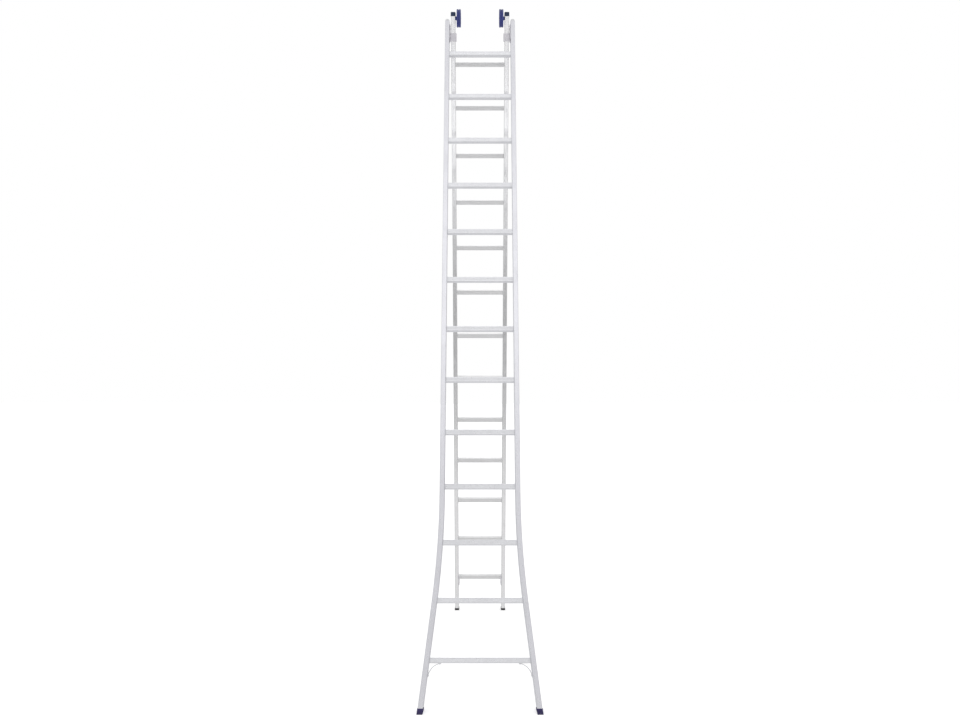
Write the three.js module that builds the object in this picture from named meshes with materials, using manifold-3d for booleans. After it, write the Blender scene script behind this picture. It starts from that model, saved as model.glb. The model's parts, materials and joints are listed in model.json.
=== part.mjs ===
// Two-section extension ladder, standing open as a step ladder.
//
// Units are millimetres, +Z is up, the floor is z = 0 and x = 0 is the ladder's middle. The wide base section
// stands in front (towards -Y) with its stiles flared at the foot. The narrow top section stands behind it.
// It slides through two guide collars, which pivot on hinge plates at the head of the base section.
//
// Each section is modelled in its own straightened frame: X across, Y through the depth, Z along the stiles,
// with its origin where the stiles' centrelines meet the floor.

import * as THREE from 'three';
import * as BufferGeometryUtils from 'three/addons/utils/BufferGeometryUtils.js';
import Module from 'manifold-3d';

const wasm = await Module();
wasm.setup();

// ---------------------------------------------------------------- driving dimensions

const GAP = 0.3;                       // clearance between neighbouring pieces
const BELOW_FLOOR = 40;                // how far the stiles' outlines run under the floor before they are cut
const BEYOND = 400;                    // a distance past the ladder's outermost faces
const LEAN = THREE.MathUtils.degToRad(16.5);
const RUNG_COUNT = 13;
const RUNG_PITCH = 280;
const RUNG_SIZE = 26;
const RUNG_CORNER = 2;
const RUNG_WALL = 1.6;
const RUNG_PAST_CENTRE = 7;            // how far a rung reaches past its stile's centreline

const STILE_WIDTH = 25;
const STILE_WALL = 1.8;

const BASE = {
  depth: 75,
  stileX: 189.5,                       // stile centreline above the flare
  end: 3797.5,                         // upper end of the tube
  firstRung: 234,
  flareTop: 1040,
  flareRadius: 4500,
  flareAngle: THREE.MathUtils.degToRad(6.9),
};

const TOP = {
  depth: 65,
  stileX: 156.5,
  end: 3864,
  firstRung: 246,
  lastRungDrop: 30,                    // the highest rung sits this much below an even pitch
};

const PIVOT = { behind: 52, along: 3745, boltRadius: 6, headRadius: 11, headHeight: 5 };

// A shoe's rim is this high in the middle of its depth, and tips down towards the back by its tip angle.
const BASE_FOOT = { wall: 2.2, height: 19, tip: THREE.MathUtils.degToRad(12.3), sole: 6 };
const TOP_FOOT = { wall: 2.2, height: 13, tip: 0, sole: 5 };
const CAP = { wall: 1.8, height: 24, roof: 6.5 };
const PLUG = { tongue: 28 };

const WHEEL = { x: 124, along: 3836, radius: 51, width: 24, bore: 5.5, groove: 1.6, grooveWidth: 4, edge: 2.5 };
const AXLE = { radius: 5, headRadius: 9, headHeight: 1.5, spacerRadius: 8, rivetHeight: 1.5 };

const COLLAR = { height: 46, web: 3, wall: 4, lip: 5.4, lipReach: 17, slack: 0.4 };
const HINGE_PLATE = { thickness: 3.7, front: -26, back: 28, low: 3690, high: 3792, corner: 26, lobe: 25 };
const BRACE = { thickness: 4, width: 24, alongRung: 46, downStile: 52, tab: 10, drawnIn: 0.4 };

const HOOK = {
  thickness: 5,
  low: 190, back: 22, front: 30,       // the plate below the rung
  neck: 38.2,                          // front face of the neck, just behind a hooked rung
  mouth: 65.6, tip: 74,                // inner and outer face of the lip
  seat: 241.5, crown: 262, lipDepth: 8.6,
};

// ---------------------------------------------------------------- where the sections stand

const pivotHeight = PIVOT.along * Math.cos(LEAN) - PIVOT.behind * Math.sin(LEAN);
const pivotFromBaseFoot = PIVOT.along * Math.sin(LEAN) + PIVOT.behind * Math.cos(LEAN);
const pivotOnTop = pivotHeight / Math.cos(LEAN);
const pivotFromTopFoot = pivotOnTop * Math.sin(LEAN);

// The feet's outer edges are level with y = +/- half the spread.
const baseFootReach = (BASE.depth / 2 + BASE_FOOT.wall) / Math.cos(LEAN);
const topFootReach = (TOP.depth / 2 + TOP_FOOT.wall) / Math.cos(LEAN);
const spread = baseFootReach + pivotFromBaseFoot + pivotFromTopFoot + topFootReach;
const baseFootY = -spread / 2 + baseFootReach;
const topFootY = spread / 2 - topFootReach;

// ---------------------------------------------------------------- materials

function standard(color, roughness, metalness) {
  return new THREE.MeshStandardMaterial({ color, roughness, metalness });
}

const aluminium = standard(0xd4d6da, 0.38, 1);
const greyPlastic = standard(0xd2d3d5, 0.5, 0);
const wheelBlue = standard(0x343f8e, 0.5, 0);
const capNavy = standard(0x1b2a44, 0.5, 0);
const footPurple = standard(0x302a5c, 0.7, 0);
const footBlack = standard(0x242428, 0.75, 0);
const zincSteel = standard(0xa9a8ae, 0.35, 1);

// ---------------------------------------------------------------- solids

function merged(geometry) {
  const bare = geometry.clone();
  bare.deleteAttribute('normal');
  bare.deleteAttribute('uv');
  return BufferGeometryUtils.mergeVertices(bare, 1e-4);
}

function solid(geometry) {
  const bare = merged(geometry);
  const vertProperties = new Float32Array(bare.attributes.position.array);
  const triVerts = new Uint32Array(bare.index.array);
  return new wasm.Manifold(new wasm.Mesh({ numProp: 3, vertProperties, triVerts }));
}

function geometryOf(manifold) {
  const mesh = manifold.getMesh();
  const geometry = new THREE.BufferGeometry();
  geometry.setAttribute('position', new THREE.BufferAttribute(new Float32Array(mesh.vertProperties), 3));
  geometry.setIndex(new THREE.BufferAttribute(new Uint32Array(mesh.triVerts), 1));
  return geometry;
}

function box(x0, x1, y0, y1, z0, z1) {
  const geometry = new THREE.BoxGeometry(x1 - x0, y1 - y0, z1 - z0);
  return geometry.translate((x0 + x1) / 2, (y0 + y1) / 2, (z0 + z1) / 2);
}

function rodAlongX(radius, x0, x1, y, z) {
  const geometry = new THREE.CylinderGeometry(radius, radius, x1 - x0, 20);
  return geometry.rotateZ(Math.PI / 2).translate((x0 + x1) / 2, y, z);
}

// An outline in X and Z, extruded through the depth and centred on y = 0.
function acrossDepth(shape, depth, curveSegments = 12) {
  const geometry = new THREE.ExtrudeGeometry(shape, { depth, bevelEnabled: false, curveSegments });
  return geometry.rotateX(Math.PI / 2).translate(0, depth / 2, 0);
}

// An outline in Y and Z, given a thickness from x0 to x1.
function acrossWidth(shape, x0, x1, curveSegments = 12) {
  const geometry = new THREE.ExtrudeGeometry(shape, { depth: x1 - x0, bevelEnabled: false, curveSegments });
  return geometry.rotateX(Math.PI / 2).rotateZ(Math.PI / 2).translate(x0, 0, 0);
}

// A profile of [radius, x] points turned about an axis along X.
function turnedAboutX(points, y, z, segments) {
  const profile = points.map(([radius, x]) => new THREE.Vector2(radius, x));
  return new THREE.LatheGeometry(profile, segments).rotateZ(-Math.PI / 2).translate(0, y, z);
}

function outline(points) {
  return new THREE.Shape(points.map(([x, y]) => new THREE.Vector2(x, y)));
}

// ---------------------------------------------------------------- stiles

// Where the flare's arc runs into its straight lower leg.
const flareEnd = BASE.flareTop - BASE.flareRadius * Math.sin(BASE.flareAngle);
const flareEndX = BASE.stileX + BASE.flareRadius * (1 - Math.cos(BASE.flareAngle));

// Centreline of a base stile at a height along the section.
function baseStileX(along) {
  if (along >= BASE.flareTop) return BASE.stileX;
  if (along <= flareEnd) return flareEndX + (flareEnd - along) * Math.tan(BASE.flareAngle);
  const below = BASE.flareTop - along;
  return BASE.stileX + BASE.flareRadius - Math.sqrt(BASE.flareRadius ** 2 - below ** 2);
}

function topStileX() {
  return TOP.stileX;
}

// The strip that a base stile fills, seen from the front: straight foot, long arc, straight upper part. Like
// topStrip, it runs below the floor, where it is cut off later.
function baseStrip(halfWidth, overrun) {
  const centreX = BASE.stileX + BASE.flareRadius;
  const legEnd = -BELOW_FLOOR - overrun;
  const side = halfWidth / Math.cos(BASE.flareAngle);
  const shape = new THREE.Shape();
  shape.moveTo(baseStileX(legEnd) - side, legEnd);
  shape.lineTo(baseStileX(legEnd) + side, legEnd);
  shape.absarc(centreX, BASE.flareTop, BASE.flareRadius - halfWidth, Math.PI + BASE.flareAngle, Math.PI, true);
  shape.lineTo(BASE.stileX + halfWidth, BASE.end + overrun);
  shape.lineTo(BASE.stileX - halfWidth, BASE.end + overrun);
  shape.absarc(centreX, BASE.flareTop, BASE.flareRadius + halfWidth, Math.PI, Math.PI + BASE.flareAngle, false);
  return shape;
}

function topStrip(halfWidth, overrun) {
  return outline([
    [TOP.stileX - halfWidth, -BELOW_FLOOR - overrun],
    [TOP.stileX + halfWidth, -BELOW_FLOOR - overrun],
    [TOP.stileX + halfWidth, TOP.end + overrun],
    [TOP.stileX - halfWidth, TOP.end + overrun],
  ]);
}

// Everything below a plane at a height over the section's foot, turned by an angle about X. In the frame of a
// section, the section's own lean makes the plane level with the floor.
function below(height, angle) {
  return solid(box(-BEYOND, BEYOND, -BEYOND, BEYOND, height - BEYOND, height).rotateX(angle));
}

// A hollow box-section stile, cut level at its foot, with a square hole in its inner wall for each rung.
function stile(section, strip, rungs, cutHeight, lean) {
  const half = STILE_WIDTH / 2;
  const hollow = acrossDepth(strip(half - STILE_WALL, 10), section.depth - 2 * STILE_WALL, 10);
  let tube = solid(acrossDepth(strip(half, 0), section.depth, 10)).subtract(solid(hollow));
  tube = tube.subtract(below(cutHeight, lean));
  const hole = RUNG_SIZE / 2 + GAP;
  for (const { along, x } of rungs) {
    tube = tube.subtract(solid(box(x - half - 5, x, -hole, hole, along - hole, along + hole)));
  }
  return tube;
}

// ---------------------------------------------------------------- rungs

function rungPlaces(section, stileX) {
  const places = [];
  for (let i = 0; i < RUNG_COUNT; i += 1) {
    const drop = i === RUNG_COUNT - 1 ? section.lastRungDrop ?? 0 : 0;
    const along = section.firstRung + i * RUNG_PITCH - drop;
    places.push({ along, x: stileX(along) });
  }
  return places;
}

function chamferedSquare(half, chamfer) {
  const a = half - chamfer;
  return [[-half, -a], [-a, -half], [a, -half], [half, -a], [half, a], [a, half], [-a, half], [-half, a]];
}

function rung(halfLength) {
  const half = RUNG_SIZE / 2;
  const shape = outline(chamferedSquare(half, RUNG_CORNER));
  shape.holes.push(new THREE.Path(outline(chamferedSquare(half - RUNG_WALL, RUNG_CORNER / 2)).getPoints()));
  const geometry = new THREE.ExtrudeGeometry(shape, { depth: 2 * halfLength, bevelEnabled: false });
  return geometry.translate(0, 0, -halfLength).rotateY(Math.PI / 2);
}

// ---------------------------------------------------------------- feet and end caps

// A moulded shoe: a cup over the stile's end, with a sole that lies flat on the floor.
function foot(section, strip, stileX, shape, slant, lean) {
  const halfX = STILE_WIDTH / 2 + shape.wall;
  const halfY = section.depth / 2 + shape.wall;
  const block = box(-halfX, halfX, -halfY, halfY, -BEYOND, BEYOND).rotateY(-slant).translate(stileX(0), 0, 0);
  const sleeve = acrossDepth(strip(STILE_WIDTH / 2 + GAP, 0), section.depth + 2 * GAP, 10);
  const cavity = solid(sleeve).subtract(below(shape.sole, lean));
  const slice = below(shape.height, lean - shape.tip).subtract(below(0, lean));
  return solid(block).intersect(slice).subtract(cavity);
}

// The light domed plug that closes the top of a base stile.
function domedPlug() {
  const radius = STILE_WIDTH / 2;
  const tongue = radius - STILE_WALL - GAP;
  const shape = new THREE.Shape();
  shape.moveTo(BASE.stileX + radius, BASE.end + GAP);
  shape.absarc(BASE.stileX, BASE.end + GAP, radius, 0, Math.PI, false);
  const dome = solid(acrossDepth(shape, BASE.depth, 12));
  const insert = box(
    BASE.stileX - tongue, BASE.stileX + tongue,
    -BASE.depth / 2 + STILE_WALL + GAP, BASE.depth / 2 - STILE_WALL - GAP,
    BASE.end - PLUG.tongue, BASE.end + GAP + 1,
  );
  return dome.add(solid(insert));
}

// The dark cap that slips over the top of a top-section stile.
function topCap() {
  const halfX = STILE_WIDTH / 2 + CAP.wall;
  const halfY = TOP.depth / 2 + CAP.wall;
  const high = TOP.end + CAP.roof;
  const block = box(TOP.stileX - halfX, TOP.stileX + halfX, -halfY, halfY, high - CAP.height, high);
  const sleeve = acrossDepth(topStrip(STILE_WIDTH / 2 + GAP, GAP), TOP.depth + 2 * GAP);
  return solid(block).subtract(solid(sleeve));
}

// ---------------------------------------------------------------- wheels and axles

function wheel() {
  const { radius, width, bore, groove, grooveWidth, edge } = WHEEL;
  const half = width / 2;
  const slot = grooveWidth / 2;
  return turnedAboutX([
    [bore, WHEEL.x - half], [radius - edge, WHEEL.x - half], [radius, WHEEL.x - half + edge],
    [radius, WHEEL.x - slot], [radius - groove, WHEEL.x - slot + 0.6], [radius - groove, WHEEL.x + slot - 0.6],
    [radius, WHEEL.x + slot], [radius, WHEEL.x + half - edge], [radius - edge, WHEEL.x + half],
    [bore, WHEEL.x + half], [bore, WHEEL.x - half],
  ], 0, WHEEL.along, 36);
}

// One turned pin: inner head, shank through the wheel, spacer against the stile, riveted outer end.
function axle() {
  const wheelInner = WHEEL.x - WHEEL.width / 2 - GAP;
  const wheelOuter = WHEEL.x + WHEEL.width / 2 + GAP;
  const stileInner = TOP.stileX - STILE_WIDTH / 2 - GAP;
  const stileOuter = TOP.stileX + STILE_WIDTH / 2 + GAP;
  return turnedAboutX([
    [0, wheelInner - AXLE.headHeight], [AXLE.headRadius, wheelInner - AXLE.headHeight],
    [AXLE.headRadius, wheelInner], [AXLE.radius, wheelInner], [AXLE.radius, wheelOuter],
    [AXLE.spacerRadius, wheelOuter], [AXLE.spacerRadius, stileInner], [AXLE.radius, stileInner],
    [AXLE.radius, stileOuter], [AXLE.headRadius, stileOuter],
    [AXLE.headRadius - 2, stileOuter + AXLE.rivetHeight], [0, stileOuter + AXLE.rivetHeight],
  ], 0, WHEEL.along, 20);
}

function axleHole() {
  return solid(rodAlongX(AXLE.radius + GAP, 130, 190, 0, WHEEL.along));
}

// ---------------------------------------------------------------- hinge plates, collars and pivot bolts

const baseInnerX = BASE.stileX - STILE_WIDTH / 2;
const plateX = baseInnerX - GAP - HINGE_PLATE.thickness;
const collarX = TOP.stileX + STILE_WIDTH / 2 + COLLAR.slack;

// A flat plate on the inner face of a base stile, whose rounded lobe reaches back to the pivot.
function hingePlate() {
  const { front, back, low, high, corner, lobe } = HINGE_PLATE;
  const shape = new THREE.Shape();
  shape.moveTo(front, low);
  shape.lineTo(front, high - corner);
  shape.quadraticCurveTo(front, high, front + corner, high);
  shape.quadraticCurveTo(PIVOT.behind + lobe, high, PIVOT.behind + lobe, PIVOT.along);
  shape.absarc(PIVOT.behind, PIVOT.along, lobe, 0, -Math.PI / 2, true);
  shape.quadraticCurveTo(back, PIVOT.along - lobe, back, low + corner);
  shape.lineTo(back, low);
  const bore = rodAlongX(PIVOT.boltRadius + GAP, plateX - 5, baseInnerX + 5, PIVOT.behind, PIVOT.along);
  return solid(acrossWidth(shape, plateX, baseInnerX - GAP, 8)).subtract(solid(bore));
}

// A C-shaped guide round the outer face and both edges of a top-section stile, open for the rungs to pass.
function guideCollar() {
  const inner = TOP.depth / 2 + COLLAR.slack;
  const outer = inner + COLLAR.wall;
  const lipX = TOP.stileX - STILE_WIDTH / 2 - COLLAR.slack;
  const webX = collarX + COLLAR.web;
  const channel = outline([
    [webX, -outer], [webX, outer], [lipX - COLLAR.lip, outer], [lipX - COLLAR.lip, COLLAR.lipReach],
    [lipX, COLLAR.lipReach], [lipX, inner], [collarX, inner], [collarX, -inner], [lipX, -inner],
    [lipX, -COLLAR.lipReach], [lipX - COLLAR.lip, -COLLAR.lipReach], [lipX - COLLAR.lip, -outer],
  ]);
  const geometry = new THREE.ExtrudeGeometry(channel, { depth: COLLAR.height, bevelEnabled: false });
  geometry.translate(0, 0, pivotOnTop - COLLAR.height / 2);
  const bore = rodAlongX(PIVOT.boltRadius + GAP, collarX - 2, webX + 2, 0, pivotOnTop);
  return solid(geometry).subtract(solid(bore));
}

function pivotBolt() {
  const head = baseInnerX + GAP;
  return turnedAboutX([
    [0, collarX + GAP], [PIVOT.boltRadius, collarX + GAP], [PIVOT.boltRadius, head],
    [PIVOT.headRadius, head], [PIVOT.headRadius, head + PIVOT.headHeight - 2],
    [PIVOT.headRadius - 2, head + PIVOT.headHeight], [0, head + PIVOT.headHeight],
  ], 0, pivotOnTop, 24);
}

// ---------------------------------------------------------------- braces and rung hooks

// A bent strip in the corner below the lowest base rung.
function cornerBrace() {
  const under = BASE.firstRung - RUNG_SIZE / 2 - GAP;
  const low = under - BRACE.downStile;
  const wall = (along) => baseStileX(along) - STILE_WIDTH / 2 / Math.cos(BASE.flareAngle) - GAP;
  const inboard = wall(under) - BRACE.alongRung;
  const t = BRACE.thickness;
  // A curve's control point: the corner, drawn in towards the middle of the curve's two ends.
  const control = (cornerX, top, lowX) => [
    THREE.MathUtils.lerp(cornerX, (inboard + lowX) / 2, BRACE.drawnIn),
    THREE.MathUtils.lerp(top, (top + low) / 2, BRACE.drawnIn),
  ];
  const shape = new THREE.Shape();
  shape.moveTo(inboard - BRACE.tab, under);
  shape.lineTo(inboard - BRACE.tab, under - t);
  shape.lineTo(inboard, under - t);
  shape.quadraticCurveTo(...control(wall(under - t) - t, under - t, wall(low) - t), wall(low) - t, low);
  shape.lineTo(wall(low - BRACE.tab) - t, low - BRACE.tab);
  shape.lineTo(wall(low - BRACE.tab), low - BRACE.tab);
  shape.lineTo(wall(low), low);
  shape.quadraticCurveTo(...control(wall(under), under, wall(low)), inboard, under);
  return solid(acrossDepth(shape, BRACE.width, 10));
}

// A plate whose nose hooks over a base rung from above.
function rungHook() {
  const rungFront = RUNG_SIZE / 2 + 0.4;
  const rungUnder = TOP.firstRung - RUNG_SIZE / 2 - GAP;
  const seatFront = HOOK.seat - HOOK.lipDepth;
  const shape = outline([
    [HOOK.back, HOOK.low + 8], [HOOK.back - 8, HOOK.low], [-HOOK.front + 8, HOOK.low], [-HOOK.front, HOOK.low + 8],
    [-HOOK.neck, HOOK.low + 26], [-HOOK.neck, HOOK.seat], [-HOOK.mouth, HOOK.seat], [-HOOK.mouth, seatFront],
    [-HOOK.tip, seatFront], [-HOOK.tip, HOOK.crown - 8], [-HOOK.tip + 8, HOOK.crown], [-rungFront, HOOK.crown],
    [-rungFront, rungUnder], [HOOK.back, rungUnder],
  ]);
  const face = TOP.stileX - STILE_WIDTH / 2 - GAP;
  return solid(acrossWidth(shape, face - HOOK.thickness, face));
}

// ---------------------------------------------------------------- assembly

const ladder = new THREE.Group();
const baseSection = new THREE.Group();
const topSection = new THREE.Group();
baseSection.rotation.x = -LEAN;
baseSection.position.y = baseFootY;
topSection.rotation.x = LEAN;
topSection.position.y = topFootY;
ladder.add(baseSection, topSection);

function place(group, name, geometry, material) {
  const mesh = new THREE.Mesh(merged(geometry), material);
  mesh.name = name;
  group.add(mesh);
  return mesh;
}

// Pieces are modelled on the right-hand (+X) side, and the left one is the mirror image.
function placePair(group, name, piece, material) {
  const mirror = [-1, 1, 1];
  const matrix = new THREE.Matrix4().makeScale(...mirror);
  place(group, `${name}_right`, geometryOf(piece), material);
  const left = geometryOf(piece).applyMatrix4(matrix);
  left.index.array.reverse();
  place(group, `${name}_left`, left, material);
}

const baseRungs = rungPlaces(BASE, baseStileX);
const topRungs = rungPlaces(TOP, topStileX);

const baseTube = stile(BASE, baseStrip, baseRungs, BASE_FOOT.sole + GAP, LEAN);
const topTube = stile(TOP, topStrip, topRungs, TOP_FOOT.sole + GAP, -LEAN).subtract(axleHole());
const baseFoot = foot(BASE, baseStrip, baseStileX, BASE_FOOT, BASE.flareAngle, LEAN);
const topFoot = foot(TOP, topStrip, topStileX, TOP_FOOT, 0, -LEAN);

placePair(baseSection, 'base_stile', baseTube, aluminium);
placePair(baseSection, 'base_end_plug', domedPlug(), greyPlastic);
placePair(baseSection, 'base_foot', baseFoot, footPurple);
placePair(baseSection, 'base_corner_brace', cornerBrace(), aluminium);
placePair(baseSection, 'hinge_plate', hingePlate(), zincSteel);

placePair(topSection, 'top_stile', topTube, aluminium);
placePair(topSection, 'top_cap', topCap(), capNavy);
placePair(topSection, 'top_foot', topFoot, footBlack);
placePair(topSection, 'rung_hook', rungHook(), zincSteel);
placePair(topSection, 'wall_wheel', solid(wheel()), wheelBlue);
placePair(topSection, 'wheel_axle', solid(axle()), zincSteel);
placePair(topSection, 'guide_collar', guideCollar(), zincSteel);
placePair(topSection, 'pivot_bolt', solid(pivotBolt()), zincSteel);

function placeRungs(group, name, rungs) {
  rungs.forEach(({ along, x }, i) => {
    const number = String(i + 1).padStart(2, '0');
    const mesh = place(group, `${name}_${number}`, rung(x + RUNG_PAST_CENTRE), aluminium);
    mesh.position.z = along;
  });
}

placeRungs(baseSection, 'base_rung', baseRungs);
placeRungs(topSection, 'top_rung', topRungs);

export default ladder;
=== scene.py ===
"""Looks of a two-section extension ladder, standing open.

Lengths are metres in the row frame: +X across, -Y to the front, +Z up, the floor at z = 0. Each section is worked
out in its own straightened frame, x across, y through the depth and z along the stiles, and then leaned into place.
"""

import json
import math

import bmesh
import bpy
import numpy as np
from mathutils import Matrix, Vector


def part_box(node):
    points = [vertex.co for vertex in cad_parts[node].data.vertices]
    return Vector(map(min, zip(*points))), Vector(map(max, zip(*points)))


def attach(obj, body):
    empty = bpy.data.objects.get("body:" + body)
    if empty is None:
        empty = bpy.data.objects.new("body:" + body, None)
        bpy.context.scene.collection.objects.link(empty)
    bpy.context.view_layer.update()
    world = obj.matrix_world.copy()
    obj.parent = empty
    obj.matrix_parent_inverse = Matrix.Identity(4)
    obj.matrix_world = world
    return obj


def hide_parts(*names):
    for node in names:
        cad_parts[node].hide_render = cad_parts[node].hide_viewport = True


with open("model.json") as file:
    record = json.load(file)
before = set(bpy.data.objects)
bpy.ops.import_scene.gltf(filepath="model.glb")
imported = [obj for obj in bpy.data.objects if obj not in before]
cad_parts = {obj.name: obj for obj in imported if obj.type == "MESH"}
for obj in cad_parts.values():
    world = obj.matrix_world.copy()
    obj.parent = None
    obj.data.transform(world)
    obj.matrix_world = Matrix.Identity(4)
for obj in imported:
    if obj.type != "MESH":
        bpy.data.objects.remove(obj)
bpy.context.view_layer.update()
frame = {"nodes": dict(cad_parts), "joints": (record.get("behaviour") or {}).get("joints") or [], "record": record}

MM = 0.001
MOUNTS = {mount["name"]: Vector(mount["pos_m"]) for mount in frame["record"]["mounts"]}
JOINTS = {joint["name"]: joint for joint in frame["joints"]}
SLIDE = JOINTS["section_slide"]["axis"]
PIVOT = Vector(JOINTS["a_frame_fold"]["pos_m"])
LEAN = math.atan2(-SLIDE[1], SLIDE[2])

STILE_WIDTH = 25 * MM
BASE_DEPTH = 75 * MM
TOP_DEPTH = 65 * MM
BASE_END = 3797.5 * MM                     # upper ends of the stiles, along each section
TOP_END = 3862 * MM
BASE_SHOE = (19 * MM, math.radians(12.3))  # height of a shoe's rim, and how far the rim tips down to the back
TOP_SHOE = (13 * MM, 0.0)
BASE_SOLE = 6.3 * MM                       # where the stiles end inside their shoes, over the floor
TOP_SOLE = 5.3 * MM
RUNG = 26 * MM
RUNG_COUNT = 13
WEB_RECESS = 0.9 * MM                      # the stiles' wide faces are sunk between two edge flanges
FLARE_TOP = 1.040                          # where the base stiles start to spread, along the section
FLARE_RADIUS = 4.5
FLARE_ANGLE = math.radians(6.9)


# ------------------------------------------------------------------ section frames


class Section:
    """One ladder section: where its stiles' centrelines meet the floor, and how far it leans to the back."""

    def __init__(self, foot_y, lean):
        self.foot_y = foot_y
        self.lean = lean

    def level(self, y, height=0.0, tip=0.0):
        """A plane over the floor, level or tipped down to the back, in the section's own frame."""
        return y * math.tan(self.lean - tip) + height / math.cos(self.lean - tip)

    def place(self, points):
        """Turns points about X by the lean and moves them to the section's foot."""
        x, y, z = np.moveaxis(np.asarray(points, float), -1, 0)
        cos, sin = math.cos(self.lean), math.sin(self.lean)
        return np.stack([x, self.foot_y + y * cos + z * sin, z * cos - y * sin], -1)

    def along(self, node):
        """How far up the section the middle of a CAD node lies."""
        low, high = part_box(node)
        middle = (low + high) / 2
        return (middle.y - self.foot_y) * math.sin(self.lean) + middle.z * math.cos(self.lean)


BASE = Section(MOUNTS["base_foot_sole_right"].y, LEAN)
TOP = Section(MOUNTS["top_foot_sole_right"].y, -LEAN)


def middle_x(node):
    low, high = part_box(node)
    return (low.x + high.x) / 2


BASE_X = middle_x("base_end_plug_right")
TOP_X = middle_x("top_cap_right")
FLARE_END = FLARE_TOP - FLARE_RADIUS * math.sin(FLARE_ANGLE)


def base_centre_x(along):
    """Centreline of the right base stile: straight, then a circle's arc, then a straight splayed leg."""
    along = np.asarray(along, float)
    below = np.clip(FLARE_TOP - along, 0, FLARE_TOP - FLARE_END)
    arc = BASE_X + FLARE_RADIUS - np.sqrt(FLARE_RADIUS**2 - below**2)
    return arc + np.clip(FLARE_END - along, 0, None) * math.tan(FLARE_ANGLE)


def base_slant(along):
    """Angle of the base stile's centreline from the section's axis: arcsin of the drop over the radius."""
    below = np.clip(FLARE_TOP - np.asarray(along, float), 0, FLARE_TOP - FLARE_END)
    return np.arcsin(below / FLARE_RADIUS)


def top_centre_x(along):
    return np.full(np.shape(along), TOP_X)


def top_slant(along):
    return np.zeros(np.shape(along))


# ------------------------------------------------------------------ surfaces


def outward(verts, faces):
    """The same faces, turned round if the volume that they enclose comes out negative."""
    volume = 0.0
    for ring in faces:
        corner = verts[ring]
        for k in range(1, ring.shape[1] - 1):
            volume += np.einsum("ij,ij->", corner[:, 0], np.cross(corner[:, k], corner[:, k + 1]))
    return (verts, faces) if volume > 0 else (verts, [ring[:, ::-1] for ring in faces])


def skin(points, closed_rows=False):
    """A closed surface through points[row, column]. Columns run round; rows close too, or end in flat fans."""
    rows, columns = points.shape[:2]
    index = np.arange(rows * columns).reshape(rows, columns)
    beside = np.roll(index, -1, axis=1)
    if closed_rows:
        above, above_beside = np.roll(index, -1, axis=0), np.roll(beside, -1, axis=0)
        quads = np.stack([index, beside, above_beside, above], -1).reshape(-1, 4)
        return outward(points.reshape(-1, 3), [quads])
    quads = np.stack([index[:-1], beside[:-1], beside[1:], index[1:]], -1).reshape(-1, 4)
    middles = np.stack([points[0].mean(0), points[-1].mean(0)])
    verts = np.concatenate([points.reshape(-1, 3), middles])
    low = np.stack([beside[0], index[0], np.full(columns, rows * columns)], 1)
    high = np.stack([index[-1], beside[-1], np.full(columns, rows * columns + 1)], 1)
    return outward(verts, [quads, low, high])


def round_rectangle(half_x, half_y, radius, step, corner_points=6):
    """Points and outward normals round a rectangle: four quarter circles joined by evenly divided sides."""
    points, normals = [], []
    signs = [(1, 1), (-1, 1), (-1, -1), (1, -1)]
    for k, (sign_x, sign_y) in enumerate(signs):
        angle = np.linspace(k, k + 1, corner_points) * np.pi / 2
        normal = np.stack([np.cos(angle), np.sin(angle)], 1)
        corner = np.array([sign_x * (half_x - radius), sign_y * (half_y - radius)]) + radius * normal
        next_x, next_y = signs[(k + 1) % 4]
        far = np.array([next_x * (half_x - radius), next_y * (half_y - radius)]) + radius * normal[-1]
        parts = max(int(np.linalg.norm(far - corner[-1]) / step), 1)
        share = np.arange(1, parts)[:, None] / parts
        points += [corner, corner[-1] + share * (far - corner[-1])]
        normals += [normal, np.repeat(normal[-1:], parts - 1, 0)]
    return np.concatenate(points), np.concatenate(normals)


def smooth_step(value, low, high):
    """0 below low and 1 above high, with the cubic 3t^2 - 2t^3 between them."""
    share = np.clip((value - low) / (high - low), 0, 1)
    return share * share * (3 - 2 * share)


def channel(position, middle, half_width, slope):
    """1 inside a groove about middle and 0 outside it, with sloping sides."""
    return 1 - smooth_step(np.abs(position - middle), half_width - slope, half_width)


def turned(profile, centre, axis, segments=32):
    """A profile of (radius, distance) rows turned about an axis through centre: a fan closes each end."""
    profile = np.asarray(profile, float)
    axis = np.asarray(axis, float)
    side = np.cross(axis, [0.0, 1.0, 0.0] if abs(axis[1]) < 0.9 else [1.0, 0.0, 0.0])
    side /= np.linalg.norm(side)
    up = np.cross(axis, side)
    angle = np.arange(segments) * 2 * np.pi / segments
    ring = np.cos(angle)[:, None] * side + np.sin(angle)[:, None] * up
    return np.asarray(centre) + profile[:, :1, None] * ring + profile[:, 1, None, None] * axis


def dome(radius, height, rows=6):
    """Profile of a rivet head: a quarter ellipse from its rim to a small flat at its crown."""
    angle = np.linspace(0, np.pi / 2 * 0.94, rows)
    rim = [[radius, -0.3 * MM]]
    return np.concatenate([rim, np.stack([radius * np.cos(angle), height * np.sin(angle)], 1)])


def mirrored(points):
    return np.asarray(points) * [-1, 1, 1]


# ------------------------------------------------------------------ pieces


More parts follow.
